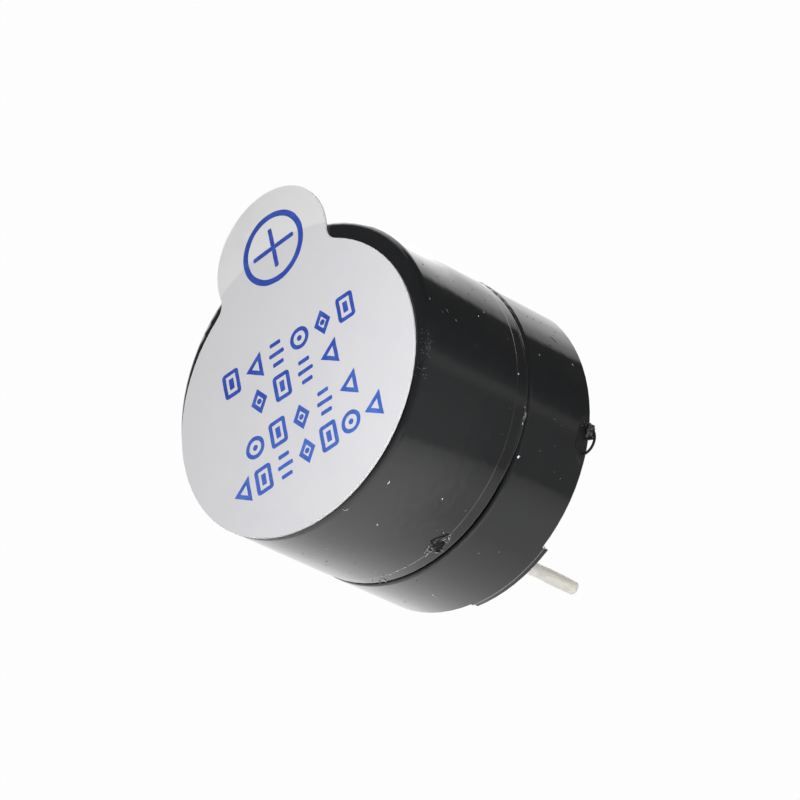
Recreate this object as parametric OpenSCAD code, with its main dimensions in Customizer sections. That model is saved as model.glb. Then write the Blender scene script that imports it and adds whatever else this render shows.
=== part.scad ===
// Round electromagnetic buzzer with its own driver circuit, for soldering to a circuit board.
// +Z points out of the sound port, the pins point along -Z and the positive pin is on +X.
// The origin is midway between the pins, on the plane that the two feet stand on.

/* [Case] */
// Outside diameter of the round case
case_d = 12; // [11.6:0.1:15]
// Height of the base's outer wall, from its lower rim to the joint
base_h = 3.4; // [3:0.05:4.2]
// Wall of the base around the recess in its underside
base_wall = 0.75; // [0.7:0.05:1.1]
// Rounding of the base's upper edge, at the joint
shoulder_round = 0.16; // [0.05:0.01:0.25]
// Rounding of the base's lower edge
rim_round = 0.08; // [0.03:0.01:0.2]
// Height of the two feet under the rim
foot_h = 0.3; // [0.2:0.05:0.8]
// How far the case's wall runs down over a foot, past the rim
foot_drop = 0.1; // [0.05:0.01:0.15]
// How far a foot's outer face is set back below that
foot_inset = 0.05; // [0.02:0.01:0.1]
// Angle that each foot covers, in degrees
foot_sweep = 35; // [20:1:90]
// Angle from a pin round to the middle of its foot, in degrees
foot_turn = 7.5; // [-15:0.5:15]
// Open gap between the base and the cap
joint_gap = 0.1; // [0.06:0.01:0.5]
// Height of the set-back lip under the cap's wall
lip_h = 0.55; // [0.2:0.01:0.6]
// How far the lip is set back from the wall
lip_step = 0.1; // [0.05:0.01:0.2]
// Wall of the cap where it slides over the base's neck
cap_wall = 0.75; // [0.6:0.05:0.9]
// Rounding of the cap's lower edge
cap_edge_round = 0.05; // [0.02:0.01:0.1]
// Rounding of the cap's top edge
cap_round = 0.3; // [0.1:0.05:0.5]
// Thickness of the cap's roof
roof_t = 0.85; // [0.6:0.05:1.5]
// Gap all round between the neck and the cap
neck_gap = 0.05; // [0.02:0.01:0.1]
// Wall of the neck, around the magnet
neck_wall = 0.7; // [0.6:0.05:0.8]
// Width of the ledge under the yoke plate
shelf_w = 0.5; // [0.3:0.05:0.6]

/* [Sound port] */
// Diameter of the port through the roof
port_d = 2.2; // [1.5:0.1:3]
// Wall of the collar inside the port
collar_wall = 0.7; // [0.4:0.05:1]
// Length of the collar below the roof
collar_h = 0.35; // [0.1:0.05:0.5]
// Height of the air chamber above the neck
chamber_h = 1; // [0.8:0.05:2.5]
// Width of the cap's ledge past the neck's rim
ledge_w = 0.2; // [0.1:0.05:0.3]

/* [Label] */
// Thickness of the label
label_t = 0.1; // [0.05:0.01:0.2]
// How far the label's edge lies inside the case's edge
label_inset = 0.36; // [0.1:0.02:1]
// How far the label was put off the centre, along X
label_shift_x = -0.36; // [-0.5:0.02:0.5]
// How far the label was put off the centre, along Y
label_shift_y = 0.14; // [-0.5:0.02:0.5]
// Diameter of the pull tab's round end
tab_d = 5.38; // [4:0.1:7]
// How far the tab reaches past the case
tab_reach = 2.27; // [1.6:0.05:4]
// Radius in the two corners beside the tab
tab_fillet = 0.7; // [0.3:0.05:1]

/* [Pins] */
// Diameter of a pin
pin_d = 0.55; // [0.4:0.05:0.8]
// Distance from the case's wall in to a pin's axis
pin_inset = 2.2; // [2:0.1:2.4]
// Length of a pin below the feet
pin_l = 4.95; // [3:0.05:12]
// Radius of the ball that rounds a pin's tip
tip_ball_r = 0.42; // [0.41:0.01:0.8]
// Diameter of the collar that stops a pin at the board
pin_collar_d = 0.95; // [0.9:0.05:1.2]
// Length of a pin above the board
pin_stub = 0.35; // [0.2:0.05:0.5]

/* [Underside] */
// Depth of the resin's face inside the rim
resin_recess = 0.55; // [0.1:0.05:0.8]
// Thickness of the sealing resin
resin_t = 0.8; // [0.5:0.05:1.2]

/* [Driver circuit] */
// Thickness of the circuit board
board_t = 0.8; // [0.6:0.1:1]
// Gap around the board and around what passes through it
board_gap = 0.05; // [0.02:0.01:0.1]
// Thickness of the copper foil
foil_t = 0.04; // [0.02:0.01:0.07]
// Width of the copper tracks
track_w = 0.25; // [0.15:0.05:0.4]
// Height of the space for the driver circuit
circuit_h = 1.25; // [1.2:0.05:2]
// Width of the solder fillet around a pin
solder_w = 0.4; // [0.3:0.05:0.45]
// Length of the transistor's body
transistor_l = 2.9; // [2.5:0.1:3]
// Height of the transistor
transistor_h = 1; // [0.8:0.05:1.1]
// Distance across the tips of the transistor's leads
lead_span = 2.4; // [2.2:0.1:2.6]
// Length of the chip resistor
resistor_l = 2; // [1.6:0.1:2.2]
// Width of the chip resistor
resistor_w = 1.25; // [0.8:0.05:1.3]
// Height of the chip resistor
resistor_h = 0.5; // [0.3:0.05:0.6]
// Length of the glass diode
diode_l = 2; // [1.6:0.1:2.2]
// Diameter of the glass diode's body
diode_d = 1; // [0.8:0.05:1.05]
// Length of a metal end on the resistor and on the diode
end_l = 0.35; // [0.25:0.05:0.5]

/* [Magnet system] */
// Thickness of the yoke plate
yoke_t = 0.8; // [0.6:0.05:1.2]
// Gap around the yoke plate and the magnet
magnet_gap = 0.05; // [0.02:0.01:0.1]
// Wall of the ring magnet
magnet_wall = 1.2; // [0.9:0.05:1.3]
// Height of the ring magnet
magnet_h = 2; // [1.5:0.05:2.3]
// Diameter of the pole core
core_d = 2; // [1.6:0.1:2.4]
// Diameter of the core's tail in the yoke plate
tail_d = 1.5; // [1.1:0.1:1.5]
// Height of the pole core above the yoke plate
core_h = 2.45; // [2.45:0.05:3]
// Gap between the pole core and the diaphragm
pole_gap = 0.25; // [0.15:0.01:0.4]
// Thickness of the washer under the coil
washer_t = 0.1; // [0.05:0.01:0.2]
// Height of the coil
coil_h = 2.08; // [1.6:0.01:2.2]
// Gap between the coil and the pole core
coil_gap = 0.05; // [0.02:0.01:0.1]
// Gap between the coil and the magnet, where the leads run down
lead_gap = 0.35; // [0.3:0.01:0.5]
// Spacing of the winding's outer turns
turn_pitch = 0.16; // [0.13:0.01:0.26]
// Diameter of the enamelled wire that leaves the coil
lead_d = 0.12; // [0.08:0.01:0.16]
// Diameter of the holes for the leads in the yoke plate
lead_hole_d = 0.5; // [0.3:0.05:0.6]

/* [Diaphragm] */
// Thickness of the diaphragm
diaphragm_t = 0.06; // [0.04:0.01:0.1]
// Gap around the diaphragm in its seat
diaphragm_gap = 0.05; // [0.02:0.01:0.1]
// Depth of the diaphragm's seat below the neck's rim
seat_h = 0.3; // [0.2:0.05:0.5]
// Width of the neck's rim around the seat
seat_rim = 0.3; // [0.25:0.05:0.35]
// Diameter of the iron disc on the diaphragm
armature_d = 4.2; // [3:0.1:5]
// Thickness of the iron disc
armature_t = 0.3; // [0.15:0.05:0.4]

/* [Moulding flash] */
// Direction of the flash loop on the lower rim, in degrees from +X
flash_dir = -114.5; // [-150:0.5:-90]
// Width of the loop where it leaves the rim
flash_w = 1.06; // [0.6:0.01:1.6]
// How far the loop stands out
flash_out = 0.42; // [0.2:0.01:0.5]
// Thickness of the loop's thread
flash_d = 0.1; // [0.06:0.01:0.16]

/* [Hidden] */

$fn = 96;
small_fn = 32;
over = 0.5;         // how far a cutter passes the face it cuts
bend_grow = 1.1;    // a wire is a little fuller at its bend

case_r = case_d / 2;
pin_r = pin_d / 2;
pin_x = case_r - pin_inset;
core_r = core_d / 2;
port_r = port_d / 2;

// Heights, from the feet up
rim_z = foot_h;
foot_line = rim_z - foot_drop;
resin_z = rim_z + resin_recess;
board_z = resin_z + resin_t;
board_top = board_z + board_t;
foil_top = board_top + foil_t;
shelf_z = board_top + circuit_h;
yoke_top = shelf_z + yoke_t;
coil_z = yoke_top + washer_t;
core_top = yoke_top + core_h;
seat_z = core_top + pole_gap;
neck_top = seat_z + seat_h;
roof_z = neck_top + chamber_h;
top_z = roof_z + roof_t;
shoulder_z = rim_z + base_h;
lip_z = shoulder_z + joint_gap;
cap_z = lip_z + lip_h;
tip_z = -pin_l;

// Radii, from the outside in
lip_r = case_r - lip_step;
recess_r = case_r - base_wall;
cap_bore_r = case_r - cap_wall;
neck_r = cap_bore_r - neck_gap;
seat_r = neck_r - seat_rim;
chamber_r = seat_r - ledge_w;
bore_r = neck_r - neck_wall;
circuit_r = bore_r - shelf_w;
magnet_r = bore_r - magnet_gap;
magnet_hole_r = magnet_r - magnet_wall;
coil_r = magnet_hole_r - lead_gap;
coil_hole_r = core_r + coil_gap;
lead_r = (coil_r + magnet_hole_r) / 2;
board_r = recess_r - board_gap;

// A pin's tip is the end of a ball that the shank cuts
tip_h = tip_ball_r - sqrt(tip_ball_r * tip_ball_r - pin_r * pin_r);

// Pockets in the shelf that clear the pins' solder joints
pocket_gap = 0.15;
pocket_r = pin_r + solder_w + pocket_gap;
pocket_h = foil_t + pin_stub + solder_w;

// The label's round body, its tab and the corner arcs that touch both
label_r = case_r - label_inset;
tab_r = tab_d / 2;
tab_x = case_r + tab_reach - tab_r - label_shift_x;
corner_a = label_r + tab_fillet;
corner_b = tab_r + tab_fillet;
corner_x = (tab_x * tab_x + corner_a * corner_a - corner_b * corner_b) / (2 * tab_x);
corner_y = sqrt(corner_a * corner_a - corner_x * corner_x);

// The diode, the transistor and the resistor stand in a row across the board, with four equal gaps
lead_t = 0.12;
diode_w = diode_d + lead_t;
row_top = sqrt(circuit_r * circuit_r - diode_l * diode_l / 4);
row_low = -sqrt(circuit_r * circuit_r - resistor_l * resistor_l / 4);
row_gap = (row_top - row_low - diode_w - lead_span - resistor_w) / 4;
diode_y = row_top - row_gap - diode_w / 2;
transistor_y = diode_y - diode_w / 2 - row_gap - lead_span / 2;
resistor_y = row_low + row_gap + resistor_w / 2;

// Leads of the coil, at three directions, and of the transistor
lead_dirs = [30, 150, 210];
lead_pad_r = 0.4;
lead_foot_x = 0.95;
lead_w = 0.4;
foot_l = 0.28;
transistor_w = 1.4;
transistor_foot_y = lead_span / 2 - foot_l / 2;
pad_grow = 0.1;

// Rings of the winding's outer turns
turn_count = floor(coil_h / turn_pitch);

// The flash loop is the part of a ring that stands out of the wall
flash_ring_r = (flash_w * flash_w / 4 + flash_out * flash_out) / (2 * flash_out);
flash_centre_r = case_r + flash_out - flash_ring_r;
flash_root = 12;    // extra angle of the loop that lies inside the wall
nub_h = 1.8 * flash_d;
film_t = 0.7 * flash_d;
film_root = case_r - 2 * flash_d;
flash_half = acos((flash_ring_r - flash_out) / flash_ring_r) + flash_root;

function lead_xy(i) = lead_r * [cos(lead_dirs[i]), sin(lead_dirs[i])];

// Flat ring between two radii
module ring(r_out, r_in, h) {
    difference() {
        cylinder(r = r_out, h = h);
        translate([0, 0, -over]) cylinder(r = r_in, h = h + 2 * over);
    }
}

// Half section, from the axis out to r, between two heights
module band(r, z_low, z_high) {
    translate([0, z_low]) square([r, z_high - z_low]);
}

// What a rounding takes off an outer edge at radius r and height z; side is 1 for an upper edge
module edge_cut(r, z, round_r, side) {
    difference() {
        translate([r - round_r, side > 0 ? z - round_r : z - over]) square([round_r + over, round_r + over]);
        translate([r - round_r, z - side * round_r]) circle(r = round_r, $fn = small_fn);
    }
}

// What is cut away below the rim, from the end of one foot round to the start of the next
module foot_space(dir) {
    rotate([0, 0, dir + foot_turn + foot_sweep / 2])
        rotate_extrude(angle = 180 - foot_sweep) {
            translate([recess_r - over, -over]) square([base_wall + 2 * over, rim_z + over]);
            edge_cut(case_r, rim_z, rim_round, -1);
        }
}

// Thin loop, half closed by a film, and the lump at its root, left by the mould just above the lower rim
module flash_loop() {
    root_dir = flash_dir + asin(flash_w / 2 / case_r);
    translate([0, 0, rim_z + rim_round + flash_d]) {
        translate([flash_centre_r * cos(flash_dir), flash_centre_r * sin(flash_dir), 0]) {
            rotate([0, 0, flash_dir - flash_half])
                rotate_extrude(angle = 2 * flash_half)
                    translate([flash_ring_r, 0]) circle(d = flash_d, $fn = small_fn);
            rotate([0, 0, flash_dir]) intersection() {
                translate([0, 0, -film_t / 2]) cylinder(r = flash_ring_r, h = film_t);
                translate([film_root - flash_centre_r, 0, -film_t]) cube([flash_w, flash_w, 2 * film_t]);
            }
        }
        translate([case_r * cos(root_dir), case_r * sin(root_dir), -nub_h / 2])
            cylinder(r = flash_d, h = nub_h, $fn = small_fn);
    }
}

module lower_case() {
    color([0.09, 0.09, 0.1]) {
        difference() {
            rotate_extrude() difference() {
                union() {
                    difference() {
                        band(case_r, foot_line, shoulder_z);
                        edge_cut(case_r, shoulder_z, shoulder_round, 1);
                        edge_cut(case_r, foot_line, rim_round, -1);
                    }
                    band(case_r - foot_inset, 0, shoulder_z - shoulder_round);
                    band(neck_r, rim_z, neck_top);
                }
                band(recess_r, -over, board_top);
                band(circuit_r, board_top - over, shelf_z + over);
                band(bore_r, shelf_z, neck_top + over);
                band(seat_r, seat_z, neck_top + over);
            }
            for (x = [-pin_x, pin_x])
                translate([x, 0, board_top - over]) cylinder(r = pocket_r, h = pocket_h + over, $fn = small_fn);
            foot_space(0);
            foot_space(180);
        }
        flash_loop();
    }
}

module upper_case() {
    color([0.09, 0.09, 0.1])
        rotate_extrude() difference() {
            union() {
                difference() {
                    band(case_r, cap_z, top_z);
                    edge_cut(case_r, top_z, cap_round, 1);
                    edge_cut(case_r, cap_z, cap_edge_round, -1);
                }
                band(lip_r, lip_z, cap_z + over);
            }
            band(cap_bore_r, lip_z - over, neck_top);
            difference() {
                band(chamber_r, neck_top - over, roof_z);
                band(port_r + collar_wall, roof_z - collar_h, roof_z + over);
            }
            band(port_r, neck_top, top_z + over);
        }
}

// Outline of the label: a disc and a round tab, with the corners between them filled to an arc
module label_outline() {
    circle(r = label_r);
    translate([tab_x, 0]) circle(r = tab_r);
    difference() {
        polygon([[0, 0], [corner_x, -corner_y], [tab_x, 0], [corner_x, corner_y]]);
        for (side = [-1, 1]) translate([corner_x, side * corner_y]) circle(r = tab_fillet);
    }
}

module wash_label() {
    color([0.84, 0.83, 0.85])
        translate([label_shift_x, label_shift_y, top_z])
            linear_extrude(height = label_t) label_outline();
}

module sealing_resin() {
    color([0.12, 0.12, 0.13])
        translate([0, 0, resin_z]) difference() {
            cylinder(r = recess_r, h = resin_t);
            for (x = [-pin_x, pin_x])
                translate([x, 0, -over]) cylinder(d = pin_collar_d, h = resin_t + 2 * over, $fn = small_fn);
        }
}

// Round pin with a rounded tip, a collar under the board and a stub above it
module pin_at(x) {
    color([0.8, 0.79, 0.75])
        translate([x, 0, 0]) rotate_extrude($fn = small_fn) {
            band(pin_r, tip_z + tip_h, foil_top + pin_stub);
            band(pin_collar_d / 2, resin_z, board_z);
            intersection() {
                translate([0, tip_z + tip_ball_r]) circle(r = tip_ball_r);
                band(pin_r, tip_z, tip_z + 2 * tip_h);
            }
        }
}

module positive_pin() { pin_at(pin_x); }
module negative_pin() { pin_at(-pin_x); }

// Hollow-sided fillet of solder around a pin, on its copper pad
module pin_solder(x) {
    edge_t = 0.04;
    color([0.7, 0.71, 0.72])
        translate([x, 0, foil_top]) rotate_extrude($fn = small_fn) difference() {
            translate([pin_r, 0]) square(solder_w);
            translate([pin_r + solder_w, solder_w]) circle(r = solder_w - edge_t);
        }
}

module positive_solder() { pin_solder(pin_x); }
module negative_solder() { pin_solder(-pin_x); }

module circuit_board() {
    color([0.16, 0.36, 0.2])
        translate([0, 0, board_z]) difference() {
            cylinder(r = board_r, h = board_t);
            for (x = [-pin_x, pin_x])
                translate([x, 0, -over]) cylinder(r = pin_r + board_gap, h = board_t + 2 * over, $fn = small_fn);
        }
}

// Copper strip with round ends from one place to another
module track(from, to) {
    step = to - from;
    translate(from) {
        circle(d = track_w, $fn = small_fn);
        rotate([0, 0, atan2(step[1], step[0])]) translate([0, -track_w / 2]) square([norm(step), track_w]);
    }
    translate(to) circle(d = track_w, $fn = small_fn);
}

module pad(place, size) {
    translate(place - size / 2) square(size);
}

module copper_tracks() {
    cathode = [(diode_l - end_l) / 2, diode_y];
    anode = [-cathode[0], diode_y];
    base_end = [(resistor_l - end_l) / 2, resistor_y];
    sense_end = [-base_end[0], resistor_y];
    collector = [0, transistor_y + transistor_foot_y];
    base_foot = [lead_foot_x, transistor_y - transistor_foot_y];
    emitter = [-lead_foot_x, transistor_y - transistor_foot_y];
    foot_pad = [lead_w + pad_grow, foot_l + pad_grow];
    color([0.76, 0.5, 0.3])
        translate([0, 0, board_top]) linear_extrude(height = foil_t) difference() {
            union() {
                for (x = [-pin_x, pin_x]) translate([x, 0]) circle(r = pin_r + solder_w, $fn = small_fn);
                for (i = [0 : 2]) translate(lead_xy(i)) circle(r = lead_pad_r, $fn = small_fn);
                for (place = [cathode, anode]) pad(place, [end_l, diode_d / 2]);
                for (place = [base_end, sense_end]) pad(place, [end_l, resistor_w + pad_grow]);
                for (place = [collector, base_foot, emitter]) pad(place, foot_pad);
                track([pin_x, 0], lead_xy(0));
                track(lead_xy(0), cathode);
                track(lead_xy(1), anode);
                track(anode, collector);
                track(base_foot, base_end);
                track(sense_end, lead_xy(2));
                track([-pin_x, 0], emitter);
            }
            for (x = [-pin_x, pin_x]) translate([x, 0]) circle(r = pin_r + board_gap, $fn = small_fn);
        }
}

// Moulded body with sloped sides and a flat waist where the leads come out
module transistor() {
    side_y = transistor_w / 2;
    stand_off = 0.08;
    slope = 0.08;
    waist_z = transistor_h / 2;
    color([0.13, 0.13, 0.14])
        translate([-transistor_l / 2, transistor_y, foil_top])
            rotate([90, 0, 90]) linear_extrude(height = transistor_l) polygon([
                [slope - side_y, stand_off], [side_y - slope, stand_off],
                [side_y, waist_z - lead_t], [side_y, waist_z + lead_t],
                [side_y - slope, transistor_h], [slope - side_y, transistor_h],
                [-side_y, waist_z + lead_t], [-side_y, waist_z - lead_t]
            ]);
}

// Lead that leaves the waist level, bends down and ends in a flat foot
module bent_lead(x, side) {
    side_y = transistor_w / 2;
    knee_y = side_y + lead_t;
    heel_y = lead_span / 2 - foot_l;
    waist_z = transistor_h / 2;
    translate([x - lead_w / 2, transistor_y, foil_top]) mirror([0, side < 0 ? 1 : 0, 0])
        rotate([90, 0, 90]) linear_extrude(height = lead_w) polygon([
            [side_y, waist_z - lead_t / 2], [knee_y, waist_z - lead_t / 2],
            [heel_y, 0], [lead_span / 2, 0], [lead_span / 2, lead_t],
            [heel_y + lead_t, lead_t], [knee_y + lead_t, waist_z + lead_t / 2], [side_y, waist_z + lead_t / 2]
        ]);
}

module transistor_leads() {
    color([0.75, 0.75, 0.74]) {
        bent_lead(0, 1);
        bent_lead(lead_foot_x, -1);
        bent_lead(-lead_foot_x, -1);
    }
}

module bias_resistor() {
    body_l = resistor_l - 2 * end_l;
    color([0.1, 0.1, 0.11])
        translate([-body_l / 2, resistor_y - resistor_w / 2, foil_top]) cube([body_l, resistor_w, resistor_h]);
}

module resistor_caps() {
    color([0.75, 0.75, 0.74])
        for (x = [-resistor_l / 2, resistor_l / 2 - end_l])
            translate([x, resistor_y - resistor_w / 2, foil_top]) cube([end_l, resistor_w, resistor_h]);
}

// Round piece that lies along X on the foil, as high as the diode's metal ends
module lying(d, x, l) {
    axis_z = foil_top + diode_w / 2;
    translate([x, diode_y, axis_z]) rotate([0, 90, 0]) cylinder(d = d, h = l, $fn = small_fn);
}

module flyback_diode() {
    color([0.75, 0.35, 0.2]) lying(diode_d, end_l - diode_l / 2, diode_l - 2 * end_l);
}

module diode_caps() {
    color([0.75, 0.75, 0.74])
        for (x = [-diode_l / 2, diode_l / 2 - end_l]) lying(diode_w, x, end_l);
}

module yoke_plate() {
    color([0.62, 0.63, 0.65])
        translate([0, 0, shelf_z]) difference() {
            cylinder(r = magnet_r, h = yoke_t);
            translate([0, 0, -over]) cylinder(d = tail_d, h = yoke_t + 2 * over);
            for (i = [0 : 2])
                translate([lead_xy(i)[0], lead_xy(i)[1], -over])
                    cylinder(d = lead_hole_d, h = yoke_t + 2 * over, $fn = small_fn);
        }
}

// Core with a thinner tail that is pressed into the yoke plate
module pole_core() {
    color([0.58, 0.59, 0.6])
        rotate_extrude() {
            band(core_r, yoke_top, core_top);
            band(tail_d / 2, shelf_z, core_top);
        }
}

module coil_washer() {
    color([0.9, 0.85, 0.7]) translate([0, 0, yoke_top]) ring(coil_r, coil_hole_r, washer_t);
}

// Winding with its outer layer of turns showing as ridges
module coil_winding() {
    turn_r = 0.52 * turn_pitch;
    color([0.72, 0.34, 0.16])
        rotate_extrude() difference() {
            union() {
                band(coil_r - turn_r, coil_z, coil_z + turn_count * turn_pitch);
                intersection() {
                    for (i = [0 : turn_count - 1])
                        translate([coil_r - turn_r, coil_z + (i + 0.5) * turn_pitch]) circle(r = turn_r, $fn = small_fn);
                    band(coil_r, coil_z, coil_z + turn_count * turn_pitch);
                }
            }
            band(coil_hole_r, coil_z - over, coil_z + coil_h + over);
        }
}

// Wire that leaves the coil's lowest turn, turns down and ends on its pad
module coil_lead(i) {
    start_z = coil_z + turn_pitch / 2;
    place = lead_xy(i);
    color([0.72, 0.34, 0.16]) {
        rotate([0, 0, lead_dirs[i]])
            translate([coil_r, 0, start_z]) rotate([0, 90, 0]) cylinder(d = lead_d, h = lead_r - coil_r, $fn = small_fn);
        translate([place[0], place[1], start_z]) sphere(d = bend_grow * lead_d, $fn = small_fn);
        translate([place[0], place[1], foil_top]) cylinder(d = lead_d, h = start_z - foil_top, $fn = small_fn);
    }
}

module coil_lead_1() { coil_lead(0); }
module coil_lead_2() { coil_lead(1); }
module coil_lead_3() { coil_lead(2); }

// Low dome of solder around the end of a lead
module lead_solder(i) {
    dome_r = 0.36;
    dome_h = 0.24;
    place = lead_xy(i);
    color([0.7, 0.71, 0.72])
        translate([place[0], place[1], foil_top]) difference() {
            intersection() {
                translate([0, 0, dome_h - dome_r]) sphere(r = dome_r, $fn = small_fn);
                cylinder(r = dome_r, h = dome_r);
            }
            translate([0, 0, -over]) cylinder(d = lead_d, h = dome_h + 2 * over, $fn = small_fn);
        }
}

module lead_solder_1() { lead_solder(0); }
module lead_solder_2() { lead_solder(1); }
module lead_solder_3() { lead_solder(2); }

module magnet_ring() {
    color([0.25, 0.25, 0.27]) translate([0, 0, yoke_top]) ring(magnet_r, magnet_hole_r, magnet_h);
}

module diaphragm() {
    color([0.72, 0.73, 0.75])
        translate([0, 0, seat_z]) cylinder(r = seat_r - diaphragm_gap, h = diaphragm_t);
}

module armature_disc() {
    color([0.6, 0.61, 0.62])
        translate([0, 0, seat_z + diaphragm_t]) cylinder(d = armature_d, h = armature_t);
}

lower_case();
upper_case();
wash_label();
sealing_resin();
positive_pin();
negative_pin();
positive_solder();
negative_solder();
circuit_board();
copper_tracks();
transistor();
transistor_leads();
bias_resistor();
resistor_caps();
flyback_diode();
diode_caps();
yoke_plate();
pole_core();
coil_washer();
coil_winding();
coil_lead_1();
coil_lead_2();
coil_lead_3();
lead_solder_1();
lead_solder_2();
lead_solder_3();
magnet_ring();
diaphragm();
armature_disc();
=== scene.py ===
import math
import random

import bmesh
import bpy
from mathutils import Matrix, Vector, noise


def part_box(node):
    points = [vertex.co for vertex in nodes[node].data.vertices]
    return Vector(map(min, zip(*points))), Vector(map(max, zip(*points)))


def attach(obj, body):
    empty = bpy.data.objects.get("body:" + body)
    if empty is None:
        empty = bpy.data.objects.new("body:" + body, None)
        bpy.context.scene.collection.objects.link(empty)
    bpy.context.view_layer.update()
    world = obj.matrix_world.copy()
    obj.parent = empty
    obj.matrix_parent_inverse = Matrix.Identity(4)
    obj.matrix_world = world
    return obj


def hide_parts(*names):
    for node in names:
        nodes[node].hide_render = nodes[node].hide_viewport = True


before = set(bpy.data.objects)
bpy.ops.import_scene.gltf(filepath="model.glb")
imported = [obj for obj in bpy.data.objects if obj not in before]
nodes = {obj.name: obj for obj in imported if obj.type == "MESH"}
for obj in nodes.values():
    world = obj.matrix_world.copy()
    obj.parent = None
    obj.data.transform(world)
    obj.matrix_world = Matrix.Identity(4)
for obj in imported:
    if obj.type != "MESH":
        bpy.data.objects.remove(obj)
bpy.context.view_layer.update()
scene = bpy.context.scene
scene.view_settings.view_transform = "Standard"
mm = 0.001
wallRadius = 6.0  # mm
wallDegree = wallRadius * math.pi / 180  # mm along the wall for each degree
print("stage: frame loaded,", len(nodes), "solids")


class Wire:  # wraps a node socket, so that shader maths reads as plain expressions
    def __init__(self, tree, socket=None):
        self.tree = tree
        self.socket = socket

    def node(self, kind, settings=None, inputs=None, output=0):
        made = self.tree.nodes.new(kind)
        for name, value in (settings or {}).items():
            if name == "stops":
                ramp = made.color_ramp
                while len(ramp.elements) < len(value):
                    ramp.elements.new(0.5)
                for element, (place, tone) in zip(ramp.elements, value):
                    element.position = place
                    element.color = tone if isinstance(tone, tuple) else (tone, tone, tone, 1)
            else:
                setattr(made, name, value)
        for key, value in (inputs or {}).items():
            if isinstance(value, Wire):
                self.tree.links.new(value.socket, made.inputs[key])
            else:
                made.inputs[key].default_value = value
        return Wire(self.tree, made.outputs[output])

    def other(self, output):  # another output of the node that this socket belongs to
        return Wire(self.tree, self.socket.node.outputs[output])

    def maths(self, operation, *others):
        return self.node("ShaderNodeMath", {"operation": operation}, dict(enumerate((self, *others))))

    def __add__(self, other):
        return self.maths("ADD", other)

    __radd__ = __add__

    def __sub__(self, other):
        return self.maths("SUBTRACT", other)

    def __rsub__(self, other):
        return self * -1 + other

    def __mul__(self, other):
        return self.maths("MULTIPLY", other)

    __rmul__ = __mul__

    def __truediv__(self, other):
        return self.maths("DIVIDE", other)

    def __pow__(self, other):
        return self.maths("POWER", other)

    def step(self, low, high):  # 0 below low, 1 above high, smooth between
        return self.node("ShaderNodeMapRange", {"interpolation_type": "SMOOTHSTEP"},
                         {"Value": self, "From Min": low, "From Max": high})

    def tint(self, *ends):  # first colour where this is 0, second where it is 1
        first, second = [end if isinstance(end, Wire) else (*end, 1) for end in ends]
        return self.node("ShaderNodeMix", {"data_type": "RGBA"},
                         {"Factor": self, 6: first, 7: second}, output=2)


def newFinish(name, baseColor, roughness, metallic=0, constants=None):
    material = bpy.data.materials.new(name)
    material.use_nodes = True
    shader = material.node_tree.nodes["Principled BSDF"]
    shader.inputs["Base Color"].default_value = (*baseColor, 1)
    shader.inputs["Roughness"].default_value = roughness
    shader.inputs["Metallic"].default_value = metallic
    for key, value in (constants or {}).items():
        shader.inputs[key].default_value = value
    return material, Wire(material.node_tree), shader


def objectPlace(wire):  # object coordinates in millimetres
    place = wire.node("ShaderNodeTexCoord", output=3)
    return wire.node("ShaderNodeVectorMath", {"operation": "SCALE"}, {0: place, "Scale": 1000})


def parts(place):  # x, y and z of a place
    x = place.node("ShaderNodeSeparateXYZ", None, {0: place})
    return x, x.other(1), x.other(2)


def stretched(place, times):
    return place.node("ShaderNodeVectorMath", {"operation": "MULTIPLY"}, {0: place, 1: times})


def noiseAt(place, scale, detail=3, rough=0.5, twist=0):
    return place.node("ShaderNodeTexNoise", None, {"Vector": place, "Scale": scale, "Detail": detail,
                                                   "Roughness": rough, "Distortion": twist})


def cellsAt(place, scale, output=0):
    return place.node("ShaderNodeTexVoronoi", None, {"Vector": place, "Scale": scale}, output)


def dotsAt(place, scale, share, low, high):  # round dots, in a share of the cells
    chosen = parts(cellsAt(place, scale, 1))[0].step(1 - share, 1.01 - share)
    return (1 - cellsAt(place, scale).step(low, high)) * chosen


def feed(shader, key, wire):
    wire.tree.links.new(wire.socket, shader.inputs[key])


def bumpInto(shader, height, depth, below=None):  # depth in millimetres
    inputs = {"Height": height, "Distance": depth * mm, "Strength": 1}
    if below:
        inputs["Normal"] = below
    bump = height.node("ShaderNodeBump", None, inputs)
    feed(shader, "Normal", bump)
    return bump


def clamped(value):
    return min(max(value, 0), 1)


def cornersOf(name):  # a CAD node's lowest and highest corners, in millimetres
    return [Vector(corner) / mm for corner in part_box(name)]


def wayTo(azimuth, elevation=0):
    turn, rise = math.radians(azimuth), math.radians(elevation)
    return Vector((math.cos(rise) * math.cos(turn), math.cos(rise) * math.sin(turn), math.sin(rise)))


def setFinish(names, material):
    for name in names:
        mesh = nodes[name].data
        mesh.materials.clear()
        mesh.materials.append(material)


def copySolid(name):  # a CAD node's mesh, in millimetres, with its loose triangles joined
    made = bmesh.new()
    made.from_mesh(nodes[name].data)
    bmesh.ops.scale(made, vec=(1 / mm, 1 / mm, 1 / mm), verts=made.verts)
    bmesh.ops.remove_doubles(made, verts=made.verts, dist=0.0005)
    bmesh.ops.dissolve_limit(made, angle_limit=0.01, verts=made.verts, edges=made.edges)
    return made


def cutAt(made, axis, places):  # extra edges at these places along an axis
    across = Vector((0, 0, 0))
    across[axis] = 1
    for place in places:
        bmesh.ops.bisect_plane(made, geom=made.verts[:] + made.edges[:] + made.faces[:], dist=0.0005,
                               plane_co=across * place, plane_no=across)


def gridCut(made, axis, low, high, gap):  # even extra edges, so that a shape can bend
    cutAt(made, axis, [low + step * gap for step in range(1, int((high - low) / gap) + 1)])


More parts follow.
